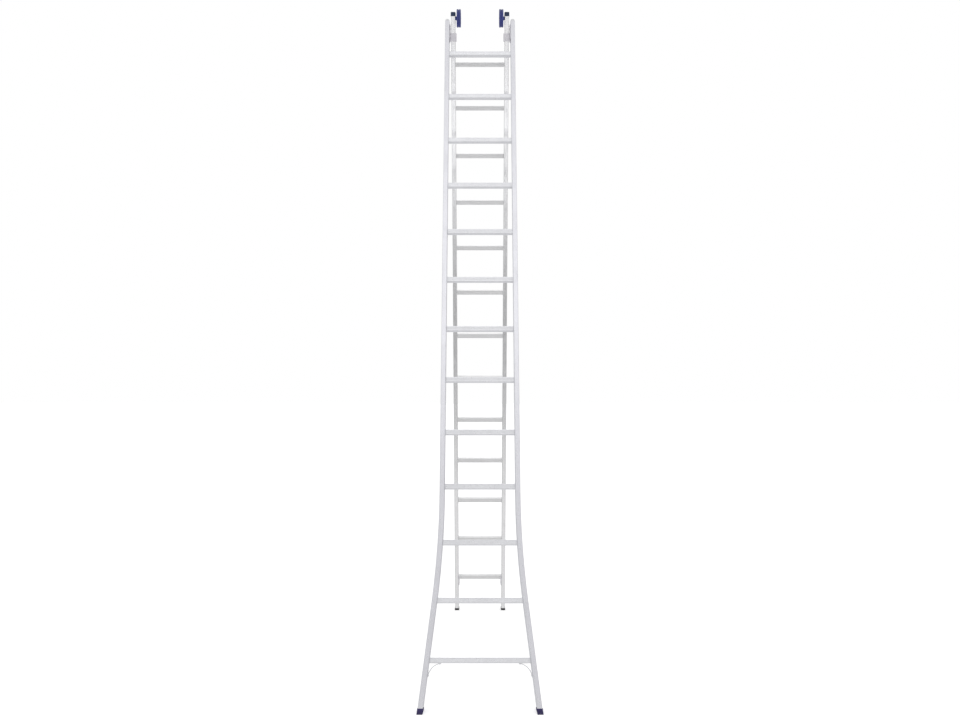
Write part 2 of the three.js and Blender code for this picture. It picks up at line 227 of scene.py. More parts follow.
def piece(name, parts, body, material, replaces=(), smooth=40):
    """One object from several closed parts, riding on a CAD body and standing for some CAD nodes."""
    verts = np.concatenate([part[0] for part in parts])
    starts = np.cumsum([0] + [len(part[0]) for part in parts[:-1]])
    rings = [ring + start for (_, faces), start in zip(parts, starts) for ring in faces]
    loops = np.concatenate([ring.ravel() for ring in rings])
    sizes = np.concatenate([np.full(len(ring), ring.shape[1]) for ring in rings])
    mesh = bpy.data.meshes.new(name)
    mesh.vertices.add(len(verts))
    mesh.vertices.foreach_set("co", verts.astype(np.float32).ravel())
    mesh.loops.add(len(loops))
    mesh.loops.foreach_set("vertex_index", loops.astype(np.int32))
    mesh.polygons.add(len(sizes))
    mesh.polygons.foreach_set("loop_start", (np.cumsum(sizes) - sizes).astype(np.int32))
    mesh.update(calc_edges=True)
    mesh.validate()
    return finished(bpy.data.objects.new(name, mesh), body, material, replaces, smooth)


def finished(obj, body, material, replaces, smooth):
    """Smooths a piece up to an edge angle, gives it its material and hands it to its body."""
    mesh = obj.data
    mesh.polygons.foreach_set("use_smooth", np.ones(len(mesh.polygons), bool))
    mesh.set_sharp_from_angle(angle=math.radians(smooth))
    mesh.materials.clear()
    mesh.materials.append(material)
    bpy.context.scene.collection.objects.link(obj)
    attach(obj, body)
    if replaces:
        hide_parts(*replaces)
    return obj


def eased(node, name, body, material, width):
    """A plate or casting with its CAD shape and every hard edge rounded over."""
    mesh = frame["nodes"][node].data.copy()
    mesh.name = name
    shape = bmesh.new()
    shape.from_mesh(mesh)
    bmesh.ops.remove_doubles(shape, verts=shape.verts, dist=0.001 * MM)
    bmesh.ops.dissolve_limit(shape, angle_limit=math.radians(0.5), verts=shape.verts, edges=shape.edges)
    shape.to_mesh(mesh)
    shape.free()
    obj = finished(bpy.data.objects.new(name, mesh), body, material, [node], 30)
    bevel = obj.modifiers.new("edges", "BEVEL")
    bevel.width = width
    bevel.segments = 3
    bevel.limit_method = "ANGLE"
    bevel.angle_limit = math.radians(32)
    bevel.harden_normals = True
    return obj


# ------------------------------------------------------------------ shader maths


class Socket:
    """A shader value that ordinary arithmetic can be written with: each operation adds its Math node."""

    def __init__(self, maker, link):
        self.maker = maker
        self.link = link

    def math(self, operation, first, second):
        return self.maker.node("ShaderNodeMath", {0: first, 1: second}, operation=operation)

    def __add__(self, other):
        return self.math("ADD", self, other)

    def __sub__(self, other):
        return self.math("SUBTRACT", self, other)

    def __rsub__(self, other):
        return self.math("SUBTRACT", other, self)

    def __mul__(self, other):
        return self.math("MULTIPLY", self, other)

    __radd__ = __add__
    __rmul__ = __mul__


class Finish:
    """One material: a Principled shader and the nodes that drive it."""

    def __init__(self, name, **constants):
        self.material = bpy.data.materials.new(name)
        self.material.use_nodes = True
        self.tree = self.material.node_tree
        self.shader = self.tree.nodes["Principled BSDF"]
        for socket, value in constants.items():
            self.shader.inputs[socket.replace("_", " ").title().replace("Ior", "IOR")].default_value = value

    def node(self, kind, sockets=None, output=0, **settings):
        """Adds a node: its settings first, then the values or links of its sockets."""
        made = self.tree.nodes.new(kind)
        for key, value in settings.items():
            if key == "stops":
                self.set_stops(made.color_ramp, value)
            else:
                setattr(made, key, value)
        for key, value in (sockets or {}).items():
            if isinstance(value, Socket):
                self.tree.links.new(value.link, made.inputs[key])
            else:
                made.inputs[key].default_value = value
        return Socket(self, made.outputs[output])

    @staticmethod
    def set_stops(ramp, stops):
        while len(ramp.elements) < len(stops):
            ramp.elements.new(0.5)
        for element, (position, colour) in zip(ramp.elements, stops):
            element.position = position
            element.color = colour

    def drive(self, socket, value):
        self.tree.links.new(value.link, self.shader.inputs[socket])

    def place(self, lean=0.0, scale=(1, 1, 1)):
        """Object coordinates, turned to run with a leaning section and stretched."""
        where = self.node("ShaderNodeTexCoord", output="Object")
        turn = self.node("ShaderNodeMapping", {"Vector": where, "Rotation": (lean, 0, 0)})
        return self.node("ShaderNodeMapping", {"Vector": turn, "Scale": scale})

    def noise(self, where, scale, detail, roughness):
        sockets = {"Vector": where, "Scale": scale, "Detail": detail, "Roughness": roughness}
        return self.node("ShaderNodeTexNoise", sockets, output="Fac")

    def ramp(self, value, low, high):
        """0 up to low and 1 from high."""
        stops = [(low, (0, 0, 0, 1)), (high, (1, 1, 1, 1))]
        return self.node("ShaderNodeValToRGB", {"Fac": value}, stops=stops)

    def mix(self, share, first, second):
        sockets = {0: share, 6: first, 7: second}
        return self.node("ShaderNodeMix", sockets, output=2, data_type="RGBA")

    def bump(self, height, depth, strength):
        sockets = {"Height": height, "Distance": depth, "Strength": strength}
        self.drive("Normal", self.node("ShaderNodeBump", sockets, output="Normal"))


def rgb(red, green, blue):
    return (red, green, blue, 1.0)


def extruded_aluminium(name, lean, stretch, bright, dull, rough):
    """Mill-finish extrusion: die lines along its length, cloudy oxide, faint handling marks and a few scuffs."""
    made = Finish(name, metallic=1.0)
    lines = made.noise(made.place(lean, stretch), 1.0, 4.0, 0.7)
    fine = made.noise(made.place(lean, [3.1 * s for s in stretch]), 1.0, 2.0, 0.6)
    clouds = made.noise(made.place(), 7.0, 4.0, 0.6)
    smears = made.ramp(made.noise(made.place(lean, (30, 30, 11)), 1.0, 5.0, 0.7), 0.5, 0.72)
    scuffs = made.ramp(made.noise(made.place(lean, (260, 260, 190)), 1.0, 3.0, 0.8), 0.71, 0.76)
    tone = lines * 0.45 + clouds * 0.55
    colour = made.mix(made.ramp(tone, 0.36, 0.64), dull, bright)
    colour = made.mix(smears * 0.2, colour, rgb(*[0.93 * c for c in dull[:3]]))
    made.drive("Base Color", made.mix(scuffs * 0.35, colour, rgb(*[0.72 * c for c in dull[:3]])))
    made.drive("Roughness", lines * 0.12 + fine * 0.06 + smears * 0.08 + rough)
    made.bump(lines * 0.6 + fine * 0.4 - scuffs * 0.5, 0.12 * MM, 0.6)
    return made.material


def zinc_plate(name, bright, dull):
    """Zinc-plated pressed steel: crystal patches, fine rolling grain and a faint cloudy bloom."""
    made = Finish(name, metallic=1.0)
    cells = made.node("ShaderNodeTexVoronoi", {"Vector": made.place(), "Scale": 130.0}, output="Color")
    patch = made.node("ShaderNodeSeparateColor", {0: cells}, output=0)
    grain = made.noise(made.place(0, (90, 90, 900)), 1.0, 3.0, 0.6)
    bloom = made.noise(made.place(), 24.0, 4.0, 0.6)
    made.drive("Base Color", made.mix(made.ramp(patch * 0.4 + bloom * 0.6, 0.3, 0.7), dull, bright))
    made.drive("Roughness", patch * 0.1 + bloom * 0.12 + grain * 0.06 + 0.26)
    made.bump(grain + patch * 0.3, 0.05 * MM, 0.5)
    return made.material


def moulded(name, colour, pale, rough, grain_scale, grain_depth, coat=0.0, dust=None):
    """Injection-moulded part: spark-eroded grain, slow colour drift, handling gloss and, low down, some dust."""
    made = Finish(name, coat_weight=coat, coat_roughness=0.3, ior=1.48)
    grain = made.noise(made.place(), grain_scale, 2.0, 0.5)
    drift = made.noise(made.place(), 18.0, 4.0, 0.6)
    rubbed = made.ramp(made.noise(made.place(), 60.0, 5.0, 0.7), 0.5, 0.75)
    base = made.mix(made.ramp(drift, 0.35, 0.7), colour, pale)
    if dust:
        height, tint = dust
        where = made.node("ShaderNodeTexCoord", output="Object")
        level = made.node("ShaderNodeSeparateXYZ", {0: where}, output=2)
        low = made.node("ShaderNodeMapRange", {0: level, 1: 0.0, 2: height, 3: 1.0, 4: 0.0})
        base = made.mix(low * made.ramp(drift * 0.5 + grain * 0.5, 0.38, 0.62) * 0.55, base, tint)
    made.drive("Base Color", base)
    made.drive("Roughness", rubbed * -0.12 + grain * 0.1 + rough)
    made.bump(grain + drift * 0.3, grain_depth, 0.7)
    return made.material


BRIGHT = rgb(0.82, 0.82, 0.865)
DULL = rgb(0.75, 0.75, 0.79)
RUNG_BRIGHT = rgb(0.83, 0.833, 0.86)
RUNG_DULL = rgb(0.76, 0.763, 0.79)
# The top stiles are the same aluminium as the base stiles; their much paler colour is painted light, standing in for
# the brighter reflections on them.
REAR_STILE_PAINTED_LIGHT_BRIGHT = rgb(0.93, 0.93, 0.94)
REAR_STILE_PAINTED_LIGHT_DULL = rgb(0.87, 0.87, 0.88)
REAR_RUNG_BRIGHT = rgb(0.84, 0.84, 0.845)
REAR_RUNG_DULL = rgb(0.77, 0.77, 0.775)
ALONG_STILE = (520, 520, 7)                # how finely the die lines run across and along each extrusion
ALONG_RUNG = (9, 520, 520)
SATIN, GLOSSY, MATT = 0.19, 0.1, 0.27      # roughness before the lines and smears are added
base_stile_metal = extruded_aluminium("base_stile_aluminium", LEAN, ALONG_STILE, BRIGHT, DULL, SATIN)
# a paler copy of the stile aluminium: the extra brightness is painted light
top_stile_metal_painted_lighter = extruded_aluminium("top_stile_aluminium_painted_lighter", -LEAN, ALONG_STILE, REAR_STILE_PAINTED_LIGHT_BRIGHT, REAR_STILE_PAINTED_LIGHT_DULL, GLOSSY)
base_rung_metal = extruded_aluminium("base_rung_aluminium", LEAN, ALONG_RUNG, RUNG_BRIGHT, RUNG_DULL, SATIN)
top_rung_metal = extruded_aluminium("top_rung_aluminium", -LEAN, ALONG_RUNG, REAR_RUNG_BRIGHT, REAR_RUNG_DULL,
                                    MATT)
bracket_metal = zinc_plate("bracket_zinc", rgb(0.84, 0.825, 0.86), rgb(0.72, 0.705, 0.75))
bolt_metal = zinc_plate("bolt_zinc", rgb(0.72, 0.72, 0.74), rgb(0.5, 0.5, 0.52))
plug_grey = moulded("plug_grey_plastic", rgb(0.66, 0.665, 0.68), rgb(0.71, 0.715, 0.725), 0.42, 700.0, 0.05 * MM)
wheel_blue = moulded("wheel_blue_nylon", rgb(0.026, 0.036, 0.170), rgb(0.036, 0.049, 0.215), 0.42, 900.0,
                     0.06 * MM, coat=0.06)
# The hub is moulded in the wheel's dark blue nylon; its far lighter blue is painted light, lifting the shade that it
# sits in between the wheel, the cap and the stile.
hub_blue_painted_lighter = moulded("hub_nylon_painted_lighter", rgb(0.14, 0.19, 0.66), rgb(0.17, 0.23, 0.72), 0.4, 900.0, 0.05 * MM)
cap_navy = moulded("cap_navy_plastic", rgb(0.010, 0.022, 0.060), rgb(0.016, 0.034, 0.085), 0.45, 800.0, 0.07 * MM)
foot_purple = moulded("foot_purple_rubber", rgb(0.020, 0.014, 0.075), rgb(0.031, 0.023, 0.105), 0.6, 600.0,
                      0.12 * MM, dust=(0.012, rgb(0.13, 0.12, 0.15)))
foot_black = moulded("foot_black_rubber", rgb(0.016, 0.016, 0.020), rgb(0.026, 0.026, 0.031), 0.62, 600.0,
                     0.12 * MM, dust=(0.014, rgb(0.15, 0.145, 0.14)))


# ------------------------------------------------------------------ stiles


STILE_FLANGE = 10 * MM
STILE_BEAD = 0.5 * MM                      # height of the bead half-way between a wide face's middle and its edge
EDGE_LINE = (4.6 * MM, 0.45 * MM)          # where the narrow faces' grooves run, and their depth
FACE_ON = 0.99                             # a normal's component above this belongs to a flat face, not a corner


def stile_profile(depth):
    """A box section's outline: wide faces sunk between flanges, with two beads, and two grooves on narrow faces."""
    outline, normal = round_rectangle(STILE_WIDTH / 2, depth / 2, 2.4 * MM, 1.2 * MM)
    x, y = outline.T
    wide_face = np.abs(normal[:, 0]) > FACE_ON
    sunk = channel(y, 0, depth / 2 - STILE_FLANGE, 1.6 * MM)
    bead = channel(np.abs(y), depth / 4, 1.8 * MM, 1.2 * MM)
    wide = sunk * WEB_RECESS - bead * STILE_BEAD
    narrow = channel(np.abs(x), EDGE_LINE[0], 1.1 * MM, 0.8 * MM) * EDGE_LINE[1]
    return outline - normal * np.where(wide_face, wide, narrow)[:, None]


def swept_stile(section, centre_x, slant, depth, alongs, sole):
    """The stile's profile carried along its centreline, square to it: x = cx + px cos a, z = t + px sin a.

    Its first ring is slid down the straight leg, dx = dz tan a, to a level plane inside the shoe.
    """
    profile = stile_profile(depth)
    alongs = np.asarray(alongs)[:, None]
    across = profile[None, :, 0]
    angle = slant(alongs)
    x = centre_x(alongs) + across * np.cos(angle)
    z = alongs + across * np.sin(angle)
    y = np.broadcast_to(profile[None, :, 1], x.shape)
    low = section.level(profile[:, 1], sole)
    x[0] += (z[0] - low) * np.tan(angle[0])
    z[0] = low
    return np.stack([x, y, z], -1)


def pair(name, local_parts, section, body, material, node=None, smooth=40):
    """Right and left copies of parts worked out on the right, in a section's frame."""
    for side, turn in (("right", np.asarray), ("left", mirrored)):
        parts = [skin(section.place(turn(points)), closed) for points, closed in local_parts]
        nodes = [f"{node}_{side}"] if node else []
        piece(f"{name}_{side}", parts, body, material, nodes, smooth)


def make_stiles():
    leg = np.concatenate([[0.0], np.linspace(0.05, FLARE_END, 6)])
    arc = np.linspace(FLARE_END, FLARE_TOP, 28)[1:]
    upper = np.linspace(FLARE_TOP, BASE_END, 14)[1:]
    base = swept_stile(BASE, base_centre_x, base_slant, BASE_DEPTH, np.concatenate([leg, arc, upper]), BASE_SOLE)
    straight = np.concatenate([[0.0], np.linspace(0.05, TOP_END, 18)])
    top = swept_stile(TOP, top_centre_x, top_slant, TOP_DEPTH, straight, TOP_SOLE)
    pair("base_stile_tube", [(base, False)], BASE, "base_section", base_stile_metal, "base_stile")
    pair("top_stile_tube", [(top, False)], TOP, "top_section", top_stile_metal_painted_lighter, "top_stile")


# ------------------------------------------------------------------ rungs


TREAD_PITCH = 2.6 * MM
TREAD_DEPTH = 0.75 * MM
FRONT_LINE_DEPTH = 0.3 * MM


def rung_outline():
    """A square tube's outline with fine grooves on its flat faces, a raised cosine: deep treads, shallow fronts."""
    outline, normal = round_rectangle(RUNG / 2, RUNG / 2, 2.0 * MM, 0.32 * MM, 7)
    flat = np.max(np.abs(normal), 1) > FACE_ON
    run = np.where(np.abs(normal[:, 0]) > 0.5, outline[:, 1], outline[:, 0])
    tread = np.abs(normal[:, 1]) > 0.5
    groove = (0.5 - 0.5 * np.cos(run / TREAD_PITCH * 2 * np.pi)) * channel(run, 0, 8.4 * MM, 1.2 * MM)
    depth = np.where(tread, TREAD_DEPTH, FRONT_LINE_DEPTH) * groove * flat
    return outline - normal * depth[:, None]


def rung_tube(along, half_length):
    y, z = rung_outline().T
    x = np.linspace(-half_length, half_length, 5)[:, None]
    return np.stack(np.broadcast_arrays(x, y, along + z), -1)


def swage(along, face_x, out, width, height):
    """The rolled bead where a rung meets a stile's wall: half an ellipse carried round the rung's outline."""
    outline, normal = round_rectangle(RUNG / 2 - 0.3 * MM, RUNG / 2 - 0.3 * MM, 2 * MM, 2.2 * MM, 5)
    angle = np.linspace(0, np.pi, 8)[:, None, None]
    spread = width / 2 * (1 - np.cos(angle))
    around = outline[None] + normal[None] * spread
    rise = height * np.sin(angle[..., 0]) - 0.4 * MM
    z = along + around[..., 1]
    return np.stack([face_x(z) + out * rise, around[..., 0], z], -1)


def rolled_end(along, face_x):
    """A rung's end rolled over on a stile's outer wall: a raised rim round a shallow dish."""
    offset = np.array([2.6, 2.4, 1.6, 0.4, -0.8, -1.6, -2.2, -4.0]) * MM
    rise = np.array([-1.0, 0.5, 1.2, 1.35, 1.1, 0.5, 0.15, 0.1]) * MM
    outline, normal = round_rectangle(RUNG / 2, RUNG / 2, 4.2 * MM, 2.2 * MM, 5)
    around = outline[None] + normal[None] * offset[:, None, None]
    z = along + around[..., 1]
    return np.stack([face_x(z) + rise[:, None], around[..., 0], z], -1)


WEB_HALF = STILE_WIDTH / 2 - WEB_RECESS    # from a stile's centreline to the sunk wide face


def base_inner_face(along):
    return base_centre_x(along) - WEB_HALF / np.cos(base_slant(along))


def base_outer_face(along):
    return base_centre_x(along) + WEB_HALF / np.cos(base_slant(along))


def top_inner_face(along):
    return top_centre_x(along) - WEB_HALF


def make_rungs():
    """The rungs, with a swaged bead at each end; the base section's are also rolled over on the outer walls."""
    sets = (("base", BASE, "base_section", base_rung_metal, base_inner_face, 3.2 * MM, 1.9 * MM),
            ("top", TOP, "top_section", top_rung_metal, top_inner_face, 2.8 * MM, 1.7 * MM))
    for name, section, body, metal, inner_face, width, height in sets:
        beads = []
        ends = []
        for k in range(1, RUNG_COUNT + 1):
            node = f"{name}_rung_{k:02d}"
            along = section.along(node)
            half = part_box(node)[1].x
            tube = skin(section.place(rung_tube(along, half)))
            piece(f"{node}_tread", [tube], body, metal, [node], 30)
            bead = swage(along, inner_face, -1, width, height)
            end = rolled_end(along, base_outer_face)
            for turn in (np.asarray, mirrored):
                beads.append(skin(section.place(turn(bead)), True))
                ends.append(skin(section.place(turn(end))))
        piece(f"{name}_rung_swages", beads, body, metal)
        if name == "base":
            piece("base_rung_rolled_ends", ends, body, metal)


# ------------------------------------------------------------------ shoes, caps and plugs


def loft(outline, normal, offsets, heights, centre_x, height_at):
    """Rings of one outline, each grown by its offset along the normals and set at its own height."""
    around = outline[None] + normal[None] * np.asarray(offsets)[:, None, None]
    z = height_at(np.asarray(heights)[:, None], around[..., 1])
    return np.stack([centre_x(z) + around[..., 0], around[..., 1], z], -1)


def shoe(section, depth, centre_x, height, tip):
    """A moulded shoe that stands flat on the floor, with ribs round it and a rolled lip at its rim."""
    outline, normal = round_rectangle(STILE_WIDTH / 2 + 1.4 * MM, depth / 2 + 1.4 * MM, 3.6 * MM, 1.6 * MM, 8)
    share = np.array([0.0, 0.02, 0.05, 0.10, 0.16, 0.18, 0.24, 0.26, 0.34, 0.36, 0.42, 0.44, 0.52, 0.54, 0.60, 0.62,
                      0.70, 0.78, 0.88, 0.91, 0.94, 0.97, 0.995, 1.0, 1.0, 0.99])
    grow = np.array([-0.6, 0.4, 0.8, 0.8, 0.8, 0.1, 0.1, 0.8, 0.8, 0.1, 0.1, 0.75, 0.75, 0.1, 0.1, 0.6,
                     0.45, 0.3, 0.25, 0.5, 0.8, 0.8, 0.5, 0.1, -0.6, -1.6]) * MM

    def height_at(share, y):
        floor = section.level(y)
        return floor + share * (section.level(y, height, tip) - floor)

    return loft(outline, normal, grow, share, centre_x, height_at)


CAP_HEIGHT = 24 * MM
CAP_PAST_STILE = 8.5 * MM


def cap():
    """The end cap: a skirt with a rolled lower lip, straight sides and a softly crowned top."""
    low = TOP_END + CAP_PAST_STILE - CAP_HEIGHT
    outline, normal = round_rectangle(STILE_WIDTH / 2 + 1.2 * MM, TOP_DEPTH / 2 + 1.2 * MM, 4 * MM, 1.6 * MM, 8)
    height = np.array([0.6, 0.0, 0.1, 0.8, 2.2, 3.0, 4.0, 12.0, 19.5, 21.2, 22.6, 23.4, 23.8, 23.95, 24.0]) * MM
    grow = np.array([-1.4, -0.9, 0.1, 0.6, 0.6, 0.2, 0.0, 0.0, 0.0, -0.3, -1.1, -2.2, -3.4, -6.0, -8.0]) * MM
    return loft(outline, normal, grow, low + height, top_centre_x, lambda z, y: z + 0 * y)


def domed_plug():
    """Half a drum across the stile: radius r(y) eases in at both ends by a fillet; a flat closes it below."""
    shy = 0.25 * MM                        # how far the plug stays inside the stile's outline
    radius = STILE_WIDTH / 2 - shy
    half = BASE_DEPTH / 2 - shy
    fillet = 3.5 * MM
    y = np.concatenate([-half + fillet * (1 - np.cos(np.linspace(0.08, 1, 7) * np.pi / 2)),
                        half - fillet * (1 - np.cos(np.linspace(1, 0.08, 7) * np.pi / 2))])
    inside = np.clip(np.abs(y) - (half - fillet), 0, fillet)
    shrink = fillet - np.sqrt(fillet**2 - inside**2)
    angle = np.linspace(0, np.pi, 25)
    rim = np.array([[-1, -0.25], [1, -0.25]])
    arch = np.concatenate([np.stack([np.cos(angle), np.sin(angle)], 1), rim])
    x = BASE_X + arch[None, :, 0] * (radius - shrink[:, None])
    z = BASE_END + arch[None, :, 1] * (radius - shrink[:, None])
    return np.stack([x, np.broadcast_to(y[:, None], x.shape), z], -1)


def make_ends():
    base_shoe = shoe(BASE, BASE_DEPTH, base_centre_x, *BASE_SHOE)
    top_shoe = shoe(TOP, TOP_DEPTH, top_centre_x, *TOP_SHOE)
    pair("base_shoe", [(base_shoe, False)], BASE, "base_section", foot_purple, "base_foot")
    pair("top_shoe", [(top_shoe, False)], TOP, "top_section", foot_black, "top_foot")
    pair("top_end_cap", [(cap(), False)], TOP, "top_section", cap_navy, "top_cap")
    pair("base_dome", [(domed_plug(), False)], BASE, "base_section", plug_grey, "base_end_plug")


# ------------------------------------------------------------------ wheels and axles

WHEEL_ALONG = TOP.along("wall_wheel_right")
WHEEL_LOW, WHEEL_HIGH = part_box("wall_wheel_right")
WHEEL_X = (WHEEL_LOW.x + WHEEL_HIGH.x) / 2
WHEEL_HALF = (WHEEL_HIGH.x - WHEEL_LOW.x) / 2
WHEEL_RADIUS = (WHEEL_HIGH.z - WHEEL_LOW.z) / 2
WHEEL_COLUMNS = 216                        # points round the wheel: 36 for each spoke
SPOKES = 6
WEB_SUNK = 7.5 * MM                        # how deep the web lies under the rim's side
SPOKE_RISE = 0.75                          # how much of that depth a spoke fills
STILE_INNER_X = TOP_X - STILE_WIDTH / 2
AXLE_RADIUS = 4.9 * MM


def wheel_body():
    """A wheel's section carried round its axle: grooved tread, round shoulders, sunk web with six spokes, hub."""
    half, radius = WHEEL_HALF, WHEEL_RADIUS
    shoulder = 2.6 * MM
    turn = np.linspace(0, np.pi / 2, 7)
    tread_x = np.array([-3.4, -2.6, -1.8, -1.4, 1.4, 1.8, 2.6, 3.4]) * MM
    tread_r = radius - np.array([0.0, 0.3, 1.5, 2.0, 2.0, 1.5, 0.3, 0.0]) * MM
    side_r = np.array([5.4, 8.0, 13.0, 15.5, 16.5, 17.5, 19.0, 24.0, 29.0, 34.0, 38.5, 40.5, 41.5, 42.5, 44.0, 48.0])
    side_r = np.concatenate([side_r * MM, radius - shoulder + shoulder * np.sin(turn)])
    side_x = half - shoulder + shoulder * np.concatenate([np.ones(len(side_r) - len(turn)), np.cos(turn)])
    r = np.concatenate([side_r, tread_r, side_r[::-1]])
    x = np.concatenate([-side_x, tread_x, side_x[::-1]])
    angle = np.arange(WHEEL_COLUMNS) * 2 * np.pi / WHEEL_COLUMNS
    apart = 2 * np.pi / SPOKES
    from_spoke = np.abs((angle / apart + 0.5) % 1 - 0.5) * apart
    across = from_spoke[None] * r[:, None]
    web = smooth_step(r, 15.5 * MM, 18 * MM) * (1 - smooth_step(r, 40 * MM, 42.5 * MM))
    sunk = web[:, None] * (1 - SPOKE_RISE * (1 - smooth_step(across, 2.2 * MM, 4.0 * MM))) * WEB_SUNK
    depth = x[:, None] - np.sign(x)[:, None] * sunk
    return np.stack([WHEEL_X + depth, r[:, None] * np.cos(angle), WHEEL_ALONG + r[:, None] * np.sin(angle)], -1)


def wheel_boss():
    """The hub's cone towards the stile: it tapers from the web to a narrow face just clear of the stile."""
    low = WHEEL_X + WHEEL_HALF - 2 * MM
    reach = STILE_INNER_X - 0.2 * MM - low
    share = np.array([0.0, 0.26, 0.36, 0.6, 0.85, 0.96, 1.0, 1.0])
    radius = np.array([14.0, 13.4, 12.0, 10.2, 8.6, 8.2, 7.6, 5.6]) * MM
    return turned(np.stack([radius, share * reach], 1), [low, 0, WHEEL_ALONG], [1, 0, 0], 48)


def hexagon(points, flats):
    """Squeezes a turned shape's rings towards hexagons, each by its share: r cos(30) / cos(a mod 60 - 30)."""
    segments = points.shape[1]
    angle = np.arange(segments) * 2 * np.pi / segments
    inside = np.cos(np.pi / 6) / np.cos(angle % (np.pi / 3) - np.pi / 6)
    middle = points.mean(1, keepdims=True)
    return middle + (points - middle) * (1 + (inside[None, :, None] - 1) * flats[:, None, None])


def washer(radius, thickness):
    edge = 0.3 * MM
    return [[radius - edge, 0], [radius, edge], [radius, thickness - edge], [radius - edge, thickness]]


def hex_bolt(centre, axis, across, height):
    """A washer and a hexagon head with a chamfered top, standing on centre and pointing along axis."""
    radius = across / 2 / math.cos(math.pi / 6)
    rim = washer(radius * 1.35, WASHER)
    profile = np.array([[radius, 1.2 * MM], [radius, height - 0.9 * MM], [radius * 0.93, height - 0.3 * MM],
                        [radius * 0.84, height], [radius * 0.3, height]])
    head = hexagon(turned(profile, centre, axis, 48), np.array([1, 1, 0.75, 0, 0]))
    return [turned(rim, centre, axis, 40), head]


def make_wheels():
    for side, turn in (("right", np.asarray), ("left", mirrored)):
        body = f"{side}_wheel"
        rim = skin(TOP.place(turn(wheel_body())), True)
        piece(f"wall_wheel_{side}_moulding", [rim], body, wheel_blue, [f"wall_wheel_{side}"], 32)
        boss = skin(TOP.place(turn(wheel_boss())))
        # the hub's lighter blue is painted light against the shade round it
        piece(f"wall_wheel_{side}_hub", [boss], body, hub_blue_painted_lighter, smooth=32)
    inner = [WHEEL_X - WHEEL_HALF - 0.3 * MM, 0, WHEEL_ALONG]
    outer = [TOP_X + WEB_HALF, 0, WHEEL_ALONG]
    shank = turned([[AXLE_RADIUS, 0], [AXLE_RADIUS, outer[0] - inner[0]]], inner, [1, 0, 0])
    heads = [turned(dome(9 * MM, 1.5 * MM), inner, [-1, 0, 0], 40), turned(dome(8 * MM, 1.8 * MM), outer, [1, 0, 0])]
    parts = [(part, False) for part in [shank] + heads]
    pair("wheel_axle_bolt", parts, TOP, "top_section", bolt_metal, "wheel_axle", 30)


# ------------------------------------------------------------------ brackets, hooks and fasteners


# The CAD node, the visible piece's ending, its body, slot and metal, and how far its edges are rounded.
EASED = (("hinge_plate", "pressing", "base_section", "zinc_steel", bracket_metal, 0.9 * MM),
         ("guide_collar", "casting", "guide_carriage", "zinc_steel", bracket_metal, 1.1 * MM),
         ("rung_hook", "plate", "top_section", "zinc_steel", bracket_metal, 1.0 * MM),
         ("base_corner_brace", "strip", "base_section", "aluminium", base_rung_metal, 0.8 * MM))
WASHER = 1.4 * MM
PIVOT_SHANK = 5.9 * MM


def make_brackets():
    for side, sign in (("right", 1), ("left", -1)):
        for node, ending, body, slot, metal, ease in EASED:
            eased(f"{node}_{side}", f"{node}_{side}_{ending}", body, metal, ease)
        low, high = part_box(f"pivot_bolt_{side}")
        middle = (low + high) / 2
        plate_low, plate_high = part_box(f"hinge_plate_{side}")
        face = (plate_high if sign > 0 else plate_low).x + sign * 0.1 * MM
        start = (low if sign > 0 else high).x
        axis = [sign, 0, 0]
        head = hex_bolt([face, middle.y, middle.z], axis, 15 * MM, 6 * MM)
        reach = abs(face - start) + WASHER
        shank = turned([[PIVOT_SHANK, 0], [PIVOT_SHANK, reach]], [start, middle.y, middle.z], axis)
        parts = [skin(part) for part in head + [shank]]
        piece(f"pivot_bolt_{side}_hex", parts, "guide_carriage", bolt_metal,
              [f"pivot_bolt_{side}"], 30)


def rivets(section, spots, radius, height):
    """Domed heads at (x, y, z, axis) spots on the right, and their mirror images."""
    heads = []
    for x, y, z, axis in spots:
        head = turned(dome(radius, height), [x, y, z], axis, 24)
        heads += [skin(section.place(head)), skin(section.place(mirrored(head)))]
    return heads


HINGE_RIVETS = [(y, z) for z in (3.702, 3.776) for y in (-14 * MM, 14 * MM)]
HOOK_RIVETS = [(12 * MM, -30 * MM), (-12 * MM, -30 * MM), (0, -46 * MM)]  # from the middle of the lowest rung
BRACE_FACE = 4.3 * MM                      # the brace's free face, from the rung's under side
BRACE_OFF_WEB = 5.2 * MM                   # the same, from the stile's sunk face
BRACE_RIVETS = (5 * MM, 57 * MM)           # one from the strip's tip, one down from the rung's under side
PLUG_RIVET_DROP = 14 * MM
SHOE_RIVET_ALONG = 32 * MM


